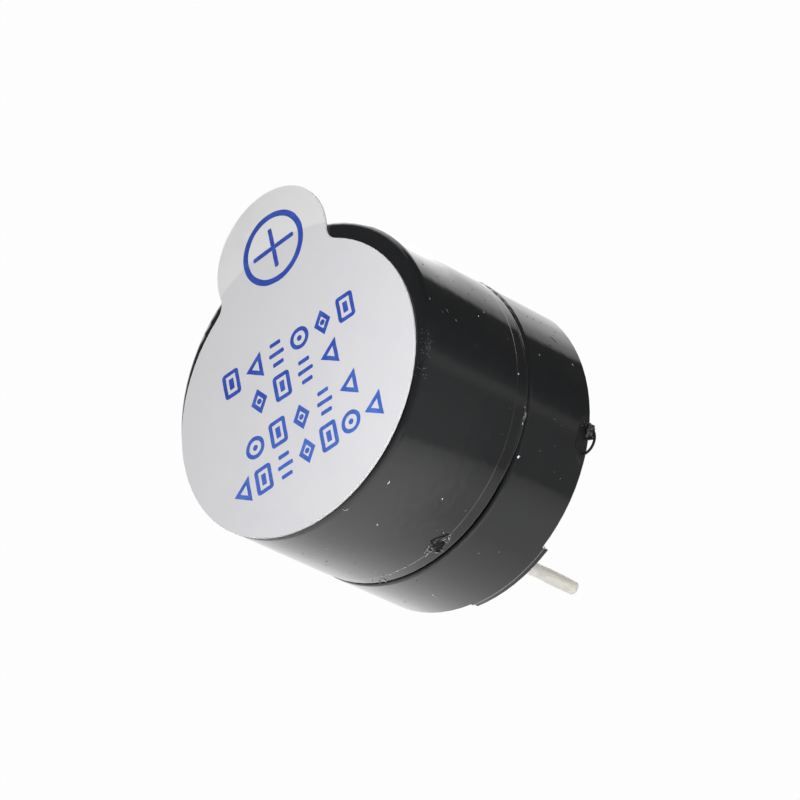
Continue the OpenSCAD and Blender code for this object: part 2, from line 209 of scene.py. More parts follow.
def sharpen(made, angle):  # edges steeper than this stay crisp under smooth shading
    for edge in made.edges:
        if len(edge.link_faces) == 2 and edge.calc_face_angle(0) > math.radians(angle):
            edge.smooth = False


def keepPiece(name, made, material, smooth=True):
    bmesh.ops.scale(made, vec=(mm, mm, mm), verts=made.verts)
    mesh = bpy.data.meshes.new(name)
    made.to_mesh(mesh)
    made.free()
    piece = bpy.data.objects.new(name, mesh)
    scene.collection.objects.link(piece)
    mesh.materials.append(material)
    for face in mesh.polygons:
        face.use_smooth = smooth
    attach(piece, "root")
    return piece


def addShape(made, shape, matrix=None):  # puts one bmesh into another
    if matrix:
        bmesh.ops.transform(shape, matrix=matrix, verts=shape.verts)
    mesh = bpy.data.meshes.new("shape")
    shape.to_mesh(mesh)
    shape.free()
    made.from_mesh(mesh)
    bpy.data.meshes.remove(mesh)


def fuse(made, voxel):  # joins overlapping crumbs into one closed skin
    mesh = bpy.data.meshes.new("crumbs")
    made.to_mesh(mesh)
    made.free()
    carrier = bpy.data.objects.new("crumbs", mesh)
    scene.collection.objects.link(carrier)
    joiner = carrier.modifiers.new("joiner", "REMESH")
    joiner.mode = "VOXEL"
    joiner.voxel_size = voxel
    skin = bpy.data.meshes.new_from_object(carrier.evaluated_get(bpy.context.evaluated_depsgraph_get()))
    joined = bmesh.new()
    joined.from_mesh(skin)
    bpy.data.objects.remove(carrier)
    bpy.data.meshes.remove(mesh)
    bpy.data.meshes.remove(skin)
    bmesh.ops.smooth_vert(joined, verts=joined.verts, factor=0.5, use_axis_x=True, use_axis_y=True,
                          use_axis_z=True)
    return joined


def spinOutline(made, places, middle=0, turn=360, steps=72):  # closes the places into an outline and spins it
    corners = [made.verts.new(place) for place in places]
    edges = [made.edges.new((corners[i], corners[(i + 1) % len(corners)])) for i in range(len(corners))]
    bmesh.ops.spin(made, geom=corners + edges, cent=(middle, 0, 0), axis=(0, 0, 1), dvec=(0, 0, 0),
                   angle=math.radians(turn), steps=steps, use_merge=turn == 360)


def wallFrame(turn, height, radius):  # axes along the wall, up and outwards, at a direction in degrees
    outward = wayTo(turn)
    along = Vector((-outward.y, outward.x, 0))
    axes = Matrix((along, Vector((0, 0, 1)), outward)).transposed().to_4x4()
    axes.translation = outward * radius + Vector((0, 0, height))
    return axes


def addCrumb(made, turn, height, radius, size, lean=0, uneven=0.25, detail=2):  # size: along, up, outwards
    crumb = bmesh.new()
    bmesh.ops.create_icosphere(crumb, subdivisions=detail, radius=0.5)
    for vert in crumb.verts:
        vert.co *= 1 + uneven * noise.noise(vert.co * 3.1 + Vector((turn, height, size[0] * 40)))
    bmesh.ops.scale(crumb, vec=size, verts=crumb.verts)
    addShape(made, crumb, wallFrame(turn, height, radius) @ Matrix.Rotation(math.radians(lean), 4, "Z"))


def addSliver(made, start, end, width, thick, radius):  # a thin crumb between two places on the wall
    run = math.radians(end[0] - start[0]) * radius
    rise = end[1] - start[1]
    lean = math.degrees(math.atan2(rise, run))
    addCrumb(made, (start[0] + end[0]) / 2, (start[1] + end[1]) / 2, radius,
             (math.hypot(run, rise), width, thick), lean)


# Camera, at the photograph's viewing angle
cameraSetup = {
    "target": (0.558, -0.639, 4.476),   # mm, on the view axis
    "distance": 165.65,
    "azimuth": -138.892,
    "elevation": 42.096,
    "roll": -63.912,
    "fieldAngle": 10,
}


def addCamera(setup):
    away = wayTo(setup["azimuth"], setup["elevation"])
    data = bpy.data.cameras.new("camera")
    data.angle = math.radians(setup["fieldAngle"])
    data.clip_start = 0.005
    data.clip_end = 20
    camera = bpy.data.objects.new("camera", data)
    place = (Vector(setup["target"]) + away * setup["distance"]) * mm
    turn = (-away).to_track_quat("-Z", "Y").to_matrix().to_4x4()
    roll = Matrix.Rotation(math.radians(setup["roll"]), 4, "Z")
    camera.matrix_world = Matrix.Translation(place) @ turn @ roll
    scene.collection.objects.link(camera)
    scene.camera = camera


addCamera(cameraSetup)
print("stage: camera")

# What gloss mirrors: the floor's brightness up to the horizon, and a dark room above
roomSetup = {
    "high": 0.11,
    "fade": (-0.1, 0.95),   # from the horizon's brightness to the dark, by the sine of the height
    "fadeBack": (-0.1, 0.3),
    "back": (30, 60, 90),   # direction of the back, and how far the quicker fade reaches from it
}


def sheenAt(turn, setup):  # a ramp of brightness around the part, looked up by direction
    stops = [((azimuth + 180) / 360, value / setup["peak"]) for azimuth, value in setup["sheen"]]
    ramp = turn.node("ShaderNodeValToRGB", {"stops": stops}, {0: turn / 360 + 0.5})
    return turn.node("ShaderNodeSeparateColor", None, {0: ramp}) * setup["peak"]


def turnAt(x, y):  # direction in degrees
    return y.maths("ARCTAN2", x) * (180 / math.pi)


# Floor, well below the part so that its shadow falls outside the frame
floorSetup = {
    "height": -50,          # mm
    "half": 3000,
    "tone": 0.86,
    "plainShare": 0.97,     # how much of the floor that the camera sees is plain white
    "under": 1.5,           # how much more gloss mirrors from straight below
    "underReach": (30, 56),
    "middle": 66,           # mm out from the axis where the wall's mirrored rays land
    "leanReach": (60.0, 72.0),
    "peak": 2.4,
    "sheen": [              # painted reflection that the wall mirrors: darker towards -Y, brighter towards +X
        (-180, 0.74), (-160, 0.69), (-148, 0.58), (-140, 0.45), (-136.5, 0.26), (-118, 0.25), (-98, 0.22),
        (-93, 0.21), (-88, 0.28), (-85, 0.27), (-79.5, 0.155), (-73, 0.11), (-55, 0.078), (-33, 0.074),
        (-28, 0.09), (-25.5, 0.4), (-23, 0.65), (-15, 0.98), (-5, 1.37), (3, 1.62), (11, 2.06), (19, 1.95),
        (29, 1.5), (49, 0.94), (60, 1.08), (79, 1.31), (99, 1.24), (119, 1.04), (139, 0.9), (160, 0.82),
        (180, 0.74),
    ],
    # where the painted dark band of the reflection lies, and how far it reaches
    "paintedDarkMiddle": -80,
    "paintedDarkReach": (70, 110),
    "paintedDarkLean": 0.017,      # the painted dark band's long edges do not point at the part
    "slopePeak": 0.7,
    "slopeSide": (63.6, 68),
    "slopeBase": 0.2,
    "slope": [              # how much brighter it gets outwards, plus the base
        (-180, 0.42), (-140, 0.37), (-85, 0.26), (-45, 0.13), (-30, 0.3), (-23, 0.48), (-15, 0.43),
        (-5, 0.56), (3, 0.57), (11, 0.617), (19, 0.48), (27, 0.3), (35, 0.24), (80, 0.15), (120, 0.16),
        (150, 0.3), (180, 0.42),
    ],
}


def addFloor(setup):
    made = bmesh.new()
    bmesh.ops.create_grid(made, x_segments=1, y_segments=1, size=setup["half"] * mm)
    bmesh.ops.translate(made, verts=made.verts, vec=(0, 0, setup["height"] * mm))
    mesh = bpy.data.meshes.new("floor")
    made.to_mesh(mesh)
    made.free()
    floor = bpy.data.objects.new("floor", mesh)
    scene.collection.objects.link(floor)
    material = bpy.data.materials.new("floorPaper")
    material.use_nodes = True
    tree = material.node_tree
    tree.nodes.clear()
    x, y = parts(objectPlace(Wire(tree)))[:2]
    turn = turnAt(x, y)
    reach = (x * x + y * y) ** 0.5
    nearest, farthest = setup["leanReach"]
    outwards = reach.maths("MAXIMUM", nearest).maths("MINIMUM", farthest) - setup["middle"]
    off = turn - setup["paintedDarkMiddle"]
    near = 1 - off.maths("ABSOLUTE").step(*setup["paintedDarkReach"])
    leaned = turn - off * outwards * near * setup["paintedDarkLean"]
    # for gloss the floor glows by direction instead of being lit: a painted reflection, with a painted dark
    # band towards -Y
    mirrored = sheenAt(leaned, setup)
    slope = sheenAt(turn, {"peak": setup["slopePeak"], "sheen": setup["slope"]}) - setup["slopeBase"]
    side = reach.step(*setup["slopeSide"]) * 2 - 1
    mirrored = mirrored * (side * slope + 1)
    low = 1 - reach.step(*setup["underReach"])
    mirrored = mirrored * (low * setup["under"] + 1)
    mirrored = x.node("ShaderNodeEmission", None, {"Strength": mirrored})
    plain = x.node("ShaderNodeEmission")
    tone = setup["tone"]
    paper = x.node("ShaderNodeBsdfDiffuse", None, {"Color": (tone, tone, tone, 1)})
    isCamera = x.node("ShaderNodeLightPath")
    isGlossy = isCamera.other("Is Glossy Ray")
    seen = x.node("ShaderNodeMixShader", None, {0: isCamera * setup["plainShare"], 1: paper, 2: plain})
    seen = x.node("ShaderNodeMixShader", None, {0: isGlossy, 1: seen, 2: mirrored})
    beneath = x.node("ShaderNodeNewGeometry").other("Backfacing")  # see-through from underneath
    seen = x.node("ShaderNodeMixShader", None, {0: beneath, 1: seen, 2: x.node("ShaderNodeBsdfTransparent")})
    output = tree.nodes.new("ShaderNodeOutputMaterial")
    tree.links.new(seen.socket, output.inputs["Surface"])
    mesh.materials.append(material)


addFloor(floorSetup)

# Light: a pale room for matt surfaces and soft lamps, none of them seen by the camera or mirrored in gloss
lightSetup = {
    "room": 0.42,
    "roomSeen": 1.0,
    "aimHeight": 5,         # mm
    "lamps": [
        {"name": "keyLamp", "azimuth": -130, "elevation": 50, "distance": 45, "size": 24, "power": 0.0152},
        {"name": "fillLamp", "azimuth": 150, "elevation": 30, "distance": 150, "size": 90, "power": 0.0133},
        {"name": "lowLamp", "azimuth": -150, "elevation": -28, "distance": 90, "size": 40, "power": 0.018},
    ],
}


def addLight(setup):
    world = bpy.data.worlds.new("room")
    world.use_nodes = True
    scene.world = world
    tree = world.node_tree
    back = tree.nodes["Background"]
    wire = Wire(tree)
    isCamera = wire.node("ShaderNodeLightPath")
    isGlossy = isCamera.other("Is Glossy Ray")
    x, y, z = parts(wire.node("ShaderNodeTexCoord"))
    turn = turnAt(x, y)
    middle, inner, outer = roomSetup["back"]
    behind = 1 - (turn - middle).maths("ABSOLUTE").step(inner, outer)
    above = z.step(*roomSetup["fade"]) * (1 - behind) + z.step(*roomSetup["fadeBack"]) * behind
    inGloss = sheenAt(turn, floorSetup) * (1 - above) + above * roomSetup["high"]
    strength = isCamera * (setup["roomSeen"] - setup["room"]) + setup["room"]
    strength = strength + isGlossy * (inGloss - setup["room"])
    tree.links.new(strength.socket, back.inputs["Strength"])
    back.inputs["Color"].default_value = (1, 1, 1, 1)
    for lamp in setup["lamps"]:
        data = bpy.data.lights.new(lamp["name"], "AREA")
        data.size = lamp["size"] * mm
        data.energy = lamp["power"]
        away = wayTo(lamp["azimuth"], lamp["elevation"])
        shown = bpy.data.objects.new(lamp["name"], data)
        shown.location = away * lamp["distance"] * mm + Vector((0, 0, setup["aimHeight"] * mm))
        shown.rotation_euler = (-away).to_track_quat("-Z", "Y").to_euler()
        shown.visible_camera = False
        shown.visible_glossy = False
        scene.collection.objects.link(shown)


addLight(lightSetup)
print("stage: floor and light")

# Glossy black moulding of the two halves of the case
caseSetup = {
    "color": (0.0062, 0.0068, 0.0078),
    "dusty": (0.0115, 0.012, 0.0132),
    "roughness": 0.045,
    "dustyRough": 0.12,
    "shine": 1.0,
    "cloudScale": 0.55,
    "cloudEdge": (0.42, 0.72),
    "peelScale": 2.3,       # orange peel, waves a millimetre
    "peelDepth": 0.0026,
    "pitScale": 2.6,        # one cell for each possible pit
    "pitShare": 0.16,
    "pitSize": (0.05, 0.13),
    "pitRough": 0.2,
    "pitDepth": 0.02,
    "hairScale": 9,
    "hairStretch": (1.0, 1.0, 0.07),
    "hairWide": 0.006,
    "hairPatch": (0.6, 0.68),
    "hairRough": 0.12,
    "scuffPlace": (-170.0, 4.43),
    "scuffSize": (0.55, 0.36),
    "scuffColor": (0.018, 0.018, 0.02),
    "scuffRagged": 1.5,
    "scuffRough": 0.55,
    "scuffDepth": 0.05,
    "smearPlace": (-114.5, 0.55),
    "smearSize": (1.1, 0.5),
    "smearRough": 0.6,
    "hazePlace": -112.6,
    "hazeReach": (2, 4),
    "topRound": 0.3,        # the plain solid's upper rounding
    "topGrow": 1.3,         # the cap's upper rounding, against the plain solid's
    "lipTall": 0.55,
    "lipShare": 0.35,       # how far the cap's lip is let in, against the plain solid's
    "lipSlack": 0.07,       # how far above the lip its corners are looked for
    "lipInside": 5.8,       # mm out, past which a low corner belongs to the lip
    "lipRise": 0.04,
    "lipRound": 0.03,
    "rimInside": 5.9,       # mm out, past which the lip's lower edge gets rounded
    "supports": (0.02, 0.075, 0.07, 0.015),  # how far the supporting edges lie from the curves
}


def wallSpread(turn, z, place, size):  # 0 in the middle of an oval on the wall, 1 at its edge
    across = (turn - place[0]) * (wallDegree / size[0])
    up = (z - place[1]) / size[1]
    return (across * across + up * up) ** 0.5


def caseFinish(setup):
    material, wire, shader = newFinish("caseBlack", setup["color"], setup["roughness"], 0,
                                       {"Specular IOR Level": setup["shine"]})
    place = objectPlace(wire)
    x, y, z = parts(place)
    turn = turnAt(x, y)
    cloud = noiseAt(place, setup["cloudScale"], 4, 0.6).step(*setup["cloudEdge"])
    haze = 1 - (turn - setup["hazePlace"]).maths("ABSOLUTE").step(*setup["hazeReach"])
    dusty = (cloud * 0.5 + haze * 0.35).maths("MINIMUM", 1.0)

    # a few small pits, and hairlines that run across the wall
    pits = dotsAt(place, setup["pitScale"], setup["pitShare"], *setup["pitSize"])
    hair = noiseAt(stretched(place, setup["hairStretch"]), setup["hairScale"], 2)
    hair = 1 - (hair - 0.5).maths("ABSOLUTE").step(0.0, setup["hairWide"])
    hair = hair * noiseAt(place, 0.9, 2).step(*setup["hairPatch"])

    # the broken patch above the joint
    ragged = (noiseAt(place, 5, 4, 0.7) - 0.5) * setup["scuffRagged"]
    spread = wallSpread(turn, z, setup["scuffPlace"], setup["scuffSize"]) + ragged
    scuff = 1 - spread.step(0.85, 1.0)

    feed(shader, "Base Color", scuff.tint(dusty.tint(setup["color"], setup["dusty"]), setup["scuffColor"]))
    rough = dusty * (setup["dustyRough"] - setup["roughness"]) + setup["roughness"]
    smear = 1 - wallSpread(turn, z, setup["smearPlace"], setup["smearSize"]).step(0.6, 1.0)
    rough = rough + hair * setup["hairRough"] + pits * setup["pitRough"] + smear * setup["smearRough"]
    rough = rough * (1 - scuff) + scuff * setup["scuffRough"]
    feed(shader, "Roughness", rough)

    peel = bumpInto(shader, noiseAt(place, setup["peelScale"], 2, 0.45), setup["peelDepth"])
    pitted = bumpInto(shader, 1 - pits, setup["pitDepth"], peel)
    bumpInto(shader, scuff * noiseAt(place, 11, 4, 0.7), setup["scuffDepth"], pitted)
    return material


caseBlack = caseFinish(caseSetup)
setFinish(["lower_case"], caseBlack)
capLow, capHigh = cornersOf("upper_case")


def addCap(setup):
    made = copySolid("upper_case")
    curve = setup["topRound"] + 0.01
    for vert in made.verts:
        radius = math.hypot(vert.co.x, vert.co.y)
        wanted, height = radius, vert.co.z
        if height > capHigh.z - curve and radius > wallRadius - curve:
            wanted = capHigh.x - (capHigh.x - radius) * setup["topGrow"]
            height = capHigh.z - (capHigh.z - height) * setup["topGrow"]
        if height < capLow.z + setup["lipTall"] + setup["lipSlack"] and radius > setup["lipInside"]:
            wanted = capHigh.x - (capHigh.x - radius) * setup["lipShare"]
        if height < capLow.z + 0.001:
            height += setup["lipRise"]
        vert.co = Vector((vert.co.x * wanted / radius, vert.co.y * wanted / radius, height))
    low = capLow.z + setup["lipRise"] + 0.001
    rim = [edge for edge in made.edges if max(vert.co.z for vert in edge.verts) < low
           and min(vert.co.xy.length for vert in edge.verts) > setup["rimInside"]]
    bmesh.ops.bevel(made, geom=rim, offset=setup["lipRound"], offset_type="OFFSET", segments=3, profile=0.5,
                    affect="EDGES", material=-1)
    edge = capLow.z + setup["lipTall"]
    top = capHigh.z - setup["topRound"] * setup["topGrow"]
    underTop, overEdge, underEdge, overLip = setup["supports"]
    cutAt(made, 2, (top - underTop, edge + overEdge, edge - underEdge, low + setup["lipRound"] + overLip))
    sharpen(made, 40)
    cap = keepPiece("capShell", made, caseBlack)
    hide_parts("upper_case")


addCap(caseSetup)
print("stage: case")

# Wash seal: satin film with a pull tab that does not lie quite flat
labelSetup = {
    "cell": 0.4,            # mm between the film's extra edges
    "edgeRound": 0.014,
    "tabStart": 5.0,
    "tabLength": 3.3,
    "tabSway": 0.04,
    "tabRise": -0.04,
    "shift": (-0.055, -0.03),
    "tabShort": 0.04,
    "tabEdge": (5.78, 5.92),  # mm out, where the film leaves the case
    "tabSide": (2.5, 4),    # mm along X
    "film": (0.69, 0.68, 0.705),
    "tab": (0.785, 0.775, 0.775),
    "smudge": (0.62, 0.615, 0.65),
    "speck": (0.42, 0.42, 0.47),
    "cutEdge": (0.7, 0.7, 0.71),
    # painted shadow: the lower part of the film's cut side, away from the tab, is darkened
    "paintedShadowLine": (0.02, 0.02, 0.022),
    "paintedShadowTall": 0.018,
    "paintedShadowSoft": 0.012,
    "roughness": 0.42,
    "cloudRough": 0.12,
    "grainRough": 0.1,
    "grainScale": 14,
    "grainDepth": 0.0016,
    "waveDepth": 0.02,
    "specks": (1.7, 0.1, 0.03, 0.09),  # scale, share of the cells, and the edge's two radii
}
labelLow, labelHigh = cornersOf("wash_label")
filmTop = labelHigh.z


def alongTab(x):  # 0 where the tab starts, 1 at its end
    return clamped((x - labelSetup["tabStart"]) / labelSetup["tabLength"])


def filmLift(x, y):
    sway = noise.noise(Vector((x * 0.45, y * 0.45, 2.7)))
    return alongTab(x) ** 2 * (labelSetup["tabSway"] * sway + labelSetup["tabRise"])


def labelFinish(setup):
    material, wire, shader = newFinish("labelFilm", setup["film"], setup["roughness"])
    place = objectPlace(wire)
    x, y, z = parts(place)
    tabShare = ((x * x + y * y) ** 0.5).step(*setup["tabEdge"]) * x.step(*setup["tabSide"])
    cloud = noiseAt(place, 0.5, 4, 0.6).step(0.45, 0.8)
    fine = noiseAt(place, setup["grainScale"], 2)
    speck = dotsAt(place, *setup["specks"])
    normal = wire.node("ShaderNodeNewGeometry", output=3)
    upright = 1 - parts(normal)[2].maths("ABSOLUTE").step(0.35, 0.8)
    # a dark band along the foot of the cut side: painted shadow in the gap under the film's edge
    paintedShadowTop = labelLow.z + setup["paintedShadowTall"]
    under = (1 - z.step(paintedShadowTop, paintedShadowTop + setup["paintedShadowSoft"])) * (1 - tabShare)
    color = tabShare.tint(setup["film"], setup["tab"])
    shares = {"smudge": cloud * 0.35, "speck": speck * 0.5, "cutEdge": upright, "paintedShadowLine": under}
    for tone, share in shares.items():
        color = share.tint(color, setup[tone])
    feed(shader, "Base Color", color)
    rough = cloud * setup["cloudRough"] + fine * setup["grainRough"]
    feed(shader, "Roughness", rough + setup["roughness"] - 0.05)
    waves = bumpInto(shader, noiseAt(place, 0.45, 2), setup["waveDepth"])
    bumpInto(shader, fine, setup["grainDepth"], waves)
    return material


def addLabel(setup):
    made = copySolid("wash_label")
    rim = [edge for edge in made.edges if edge.calc_face_angle(0) > 1
           and min(vert.co.z for vert in edge.verts) > filmTop - 0.01]
    bmesh.ops.bevel(made, geom=rim, offset=setup["edgeRound"], offset_type="OFFSET", segments=2, profile=0.5,
                    affect="EDGES", material=-1)
    gridCut(made, 0, labelLow.x, labelHigh.x, setup["cell"])
    gridCut(made, 1, labelLow.y, labelHigh.y, setup["cell"])
    for vert in made.verts:
        beyond = alongTab(vert.co.x)
        vert.co.z += filmLift(vert.co.x, vert.co.y)
        vert.co.x += setup["shift"][0] - beyond * setup["tabShort"]
        vert.co.y += setup["shift"][1]
    sharpen(made, 20)
    seal = keepPiece("washSeal", made, labelFinish(setup))
    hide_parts("wash_label")


addLabel(labelSetup)
print("stage: label")

# Print on the film: plain marks in rows, and a plus in a ring at the positive pin's side
printSetup = {
    "stroke": 0.165,
    "tall": 1.08,           # along X
    "wide": 0.8,            # along Y
    "thick": 0.008,
    "wobble": 0.014,
    "cell": 0.3,
    "spans": ((-4, 7.4), (-4, 4)),  # along X and along Y
    "rows": [               # X of a row's middle, Y of its first and last mark, and the marks
        (1.39, 2.94, -2.72, ["frame", "gable", "bars", "target", "lozenge", "frame"]),
        (-0.03, 1.84, -1.61, ["lozenge", "frame", "bars", "gable"]),
        (-1.73, 2.39, -2.18, ["target", "frame", "lozenge", "bars", "gable"]),
        (-3.17, 3.32, -3.07, ["gable", "frame", "bars", "lozenge", "frame", "target", "gable"]),
    ],
    "ringPlace": (5.7, -0.04),
    "ringWide": 2.96,
    "ringStroke": 0.235,
    "barWide": 0.19,
    "barLong": 2.02,        # the plus's bar across X
    "barReach": 0.86,       # how far the other bar's halves reach
    "plusLean": 1.7,
    "paleFrom": (-3.4, 1.6),
    "worn": (0.6, 0.75),
    "ink": (0.026, 0.071, 0.42),
    "inkPale": (0.075, 0.18, 0.6),
    "film": (0.5, 0.53, 0.66),
    "roughness": 0.38,
}


def flatShape(sides, size, lean=0, corner=0, stroke=0):  # a flat plate, or its outline if a stroke is given
    shape = bmesh.new()
    bmesh.ops.create_circle(shape, cap_ends=True, segments=sides, radius=1)
    bmesh.ops.rotate(shape, verts=shape.verts, matrix=Matrix.Rotation(math.radians(lean), 3, "Z"))
    for axis in (0, 1):
        low = min(vert.co[axis] for vert in shape.verts)
        high = max(vert.co[axis] for vert in shape.verts)
        for vert in shape.verts:
            vert.co[axis] = ((vert.co[axis] - low) / (high - low) - 0.5) * size[axis]
    if corner:
        bmesh.ops.bevel(shape, geom=shape.verts[:], offset=corner, offset_type="OFFSET", segments=4,
                        profile=0.5, affect="VERTICES", material=-1)
    if stroke:
        inner = shape.faces[:]
        bmesh.ops.inset_region(shape, faces=inner, thickness=stroke, use_boundary=True, use_even_offset=True)
        bmesh.ops.delete(shape, geom=inner, context="FACES")
    return shape


def markShapes(kind, setup):  # the plates of one mark, with how far each lies from the mark's middle
    tall, wide, stroke = setup["tall"], setup["wide"], setup["stroke"]
    dot = stroke * 1.35
    spot = (flatShape(12, (dot, dot)), 0, 0)
    if kind == "frame":
        core = (flatShape(4, (dot * 2, dot), 45, 0.03), 0, 0)
        return [(flatShape(4, (tall, wide), 45, 0.14, stroke), 0, 0), core]
    if kind == "gable":
        return [(flatShape(3, (tall, wide), stroke=stroke), 0, 0)]
    if kind == "lozenge":
        return [(flatShape(4, (tall, wide), stroke=stroke), 0, 0), spot]
    if kind == "bars":
        bars = []
        for side in (-1, 0, 1):
            bar = flatShape(4, (stroke, wide * (0.9 - 0.25 * abs(side))), 45, 0.05)
            bars.append((bar, side * (tall - stroke) * 0.46, 0))
        return bars
    return [(flatShape(28, (wide * 1.12, wide * 1.12), stroke=stroke), 0, 0), spot]


def inkFinish(setup):
    material, wire, shader = newFinish("printInk", setup["ink"], setup["roughness"])
    place = objectPlace(wire)
    pale = 1 - parts(place)[0].step(*setup["paleFrom"])
    patchy = noiseAt(place, 2.2, 4, 0.6).step(0.4, 0.75)
    worn = noiseAt(place, 13, 3, 0.6).step(*setup["worn"])
    color = (pale * 0.55 + patchy * 0.45).tint(setup["ink"], setup["inkPale"])
    feed(shader, "Base Color", (worn * (pale * 0.3 + 0.25)).tint(color, setup["film"]))
    feed(shader, "Roughness", worn * 0.15 + setup["roughness"])
    bumpInto(shader, noiseAt(place, 10, 3), 0.003)
    return material


def addPrint(setup):
    made = bmesh.new()
    for middle, first, last, kinds in setup["rows"]:
        for index, kind in enumerate(kinds):
            across = first + (last - first) * index / (len(kinds) - 1)
            for shape, dx, dy in markShapes(kind, setup):
                addShape(made, shape, Matrix.Translation((middle + dx, across + dy, 0)))
    ringX, ringY = setup["ringPlace"]
    ringWide, barWide = setup["ringWide"], setup["barWide"]
    ring = flatShape(72, (ringWide, ringWide), stroke=setup["ringStroke"])
    addShape(made, ring, Matrix.Translation((ringX, ringY, 0)))
    lean = Matrix.Rotation(math.radians(setup["plusLean"]), 4, "Z")
    tilt = Matrix.Translation((ringX, ringY - 0.01, 0)) @ lean
    addShape(made, flatShape(4, (barWide, setup["barLong"]), 45, 0.07), tilt)
    for side in (-1, 1):
        reach = setup["barReach"] - barWide / 2
        place = tilt @ Matrix.Translation((side * (barWide / 2 + reach / 2 + 0.001), 0, 0))
        addShape(made, flatShape(4, (reach, barWide), 45, 0.05), place)
    for axis, (low, high) in enumerate(setup["spans"]):
        gridCut(made, axis, low, high, setup["cell"])
    for vert in made.verts:
        vert.co.x += setup["wobble"] * noise.noise(vert.co * 2.6)
        vert.co.y += setup["wobble"] * noise.noise(vert.co * 2.6 + Vector((9, 0, 0)))
    bmesh.ops.recalc_face_normals(made, faces=made.faces)
    bmesh.ops.solidify(made, geom=made.faces[:], thickness=setup["thick"])
    bmesh.ops.recalc_face_normals(made, faces=made.faces)
    lowest = min(vert.co.z for vert in made.verts)
    for vert in made.verts:
        vert.co.z += filmTop - 0.002 - lowest + filmLift(vert.co.x, vert.co.y)
    keepPiece("filmPrint", made, inkFinish(setup), smooth=False)


addPrint(printSetup)
print("stage: print")

# Tinned pins: hand-dipped, so a little uneven and not quite straight
pinSetup = {
    "cell": 0.11,
    "top": 0.8,             # mm, inside the resin's face
    "free": 0.5,            # mm below the top, where the pin reaches its full unevenness
    "slim": 0.965,
    "lumps": 0.016,
    "radius": 0.275,
    "lean": {"negative_pin": (-0.062, 0.072), "positive_pin": (0.035, 0.02)},
    "tin": (0.82, 0.795, 0.71),
    "tinPaleAndLit": (0.98, 0.965, 0.9),
    # up from here towards the case the tin is painted brighter: painted light against the case's shade
    "paleFrom": (-4.0, -1.6),
    "tinDull": (0.64, 0.625, 0.565),
    "roughness": 0.46,
    "metallic": 0.15,
}


def tinFinish(setup):
    material, wire, shader = newFinish("tinnedWire", setup["tin"], setup["roughness"], setup["metallic"])
    place = objectPlace(wire)
    z = parts(place)[2]
    long = stretched(place, (1, 1, 0.45))
    patch = noiseAt(long, 2.6, 4, 0.6).step(0.45, 0.66) * 0.5
    # random pale patches of the tin, plus painted light: brighter towards the top, by the case
    patch = (patch + z.step(*setup["paleFrom"])).maths("MINIMUM", 1.0)
    dull = noiseAt(long, 4.5, 4, 0.65).step(0.56, 0.74)
    color = patch.tint(setup["tin"], setup["tinPaleAndLit"])
    feed(shader, "Base Color", (dull * 0.6).tint(color, setup["tinDull"]))
    feed(shader, "Roughness", dull * 0.2 - patch * 0.08 + setup["roughness"])
    feed(shader, "Metallic", (1 - dull * 0.5) * setup["metallic"])
    lumps = bumpInto(shader, noiseAt(long, 3.2, 3), 0.03)
    bumpInto(shader, noiseAt(place, 16, 3), 0.004, lumps)
    return material


def addPins(setup):
    material = tinFinish(setup)
    for name, shift in setup["lean"].items():
        low, high = cornersOf(name)
        middle = (low.x + high.x) / 2
        made = copySolid(name)
        gridCut(made, 2, low.z, setup["top"], setup["cell"])
        for vert in made.verts:
            below = setup["top"] - vert.co.z
            depth = clamped(below / setup["free"])
            lean = depth * (0.55 + 0.45 * clamped(below / (setup["top"] - low.z)))
            swell = noise.noise(Vector((vert.co.x * 1.6 + middle, vert.co.y * 1.6, vert.co.z * 1.1)))
            grow = 1 - depth * (1 - setup["slim"] - setup["lumps"] * swell / setup["radius"])
            vert.co.x = middle + (vert.co.x - middle) * grow + shift[0] * lean
            vert.co.y = vert.co.y * grow + shift[1] * lean
        sharpen(made, 60)
        pin = keepPiece(name.replace("_pin", "TinnedPin"), made, material)
        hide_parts(name)


addPins(pinSetup)
print("stage: pins")

# Underside: the resin creeps up its wall and round the pins
resinSetup = {
    "wallCreep": 0.17,
    "pinCreep": 0.13,
    "pinRadius": 0.262,     # a little inside the pin's face
    "color": (0.011, 0.011, 0.0125),
    "dull": (0.028, 0.028, 0.03),
    "roughness": 0.2,
    "bubbles": (1.3, 0.2, 0.04, 0.16),  # scale, share of the cells, and the edge's two radii
    "fillet": [(0, 0), (0, -1), (0.22, -0.42), (0.5, -0.14), (1, 0)],  # outwards and down, for a creep of 1
}


def resinFinish(setup):
    material, wire, shader = newFinish("pottingResin", setup["color"], setup["roughness"])
    place = objectPlace(wire)
    cloud = noiseAt(place, 0.8, 4, 0.6).step(0.4, 0.7)
    bubbles = dotsAt(place, *setup["bubbles"])
    feed(shader, "Base Color", (cloud * 0.6).tint(setup["color"], setup["dull"]))
    feed(shader, "Roughness", cloud * 0.22 + setup["roughness"])
    sunk = bumpInto(shader, noiseAt(place, 0.7, 3), 0.06)
    bumpInto(shader, 1 - bubbles, 0.03, sunk)
    return material


def addFillet(made, middle, radius, face, creep, side):  # side -1: against the wall around, 1: round a pin
    start = middle + radius
    places = [(start + side * out * creep, 0, face + down * creep) for out, down in resinSetup["fillet"]]
    spinOutline(made, places, middle)


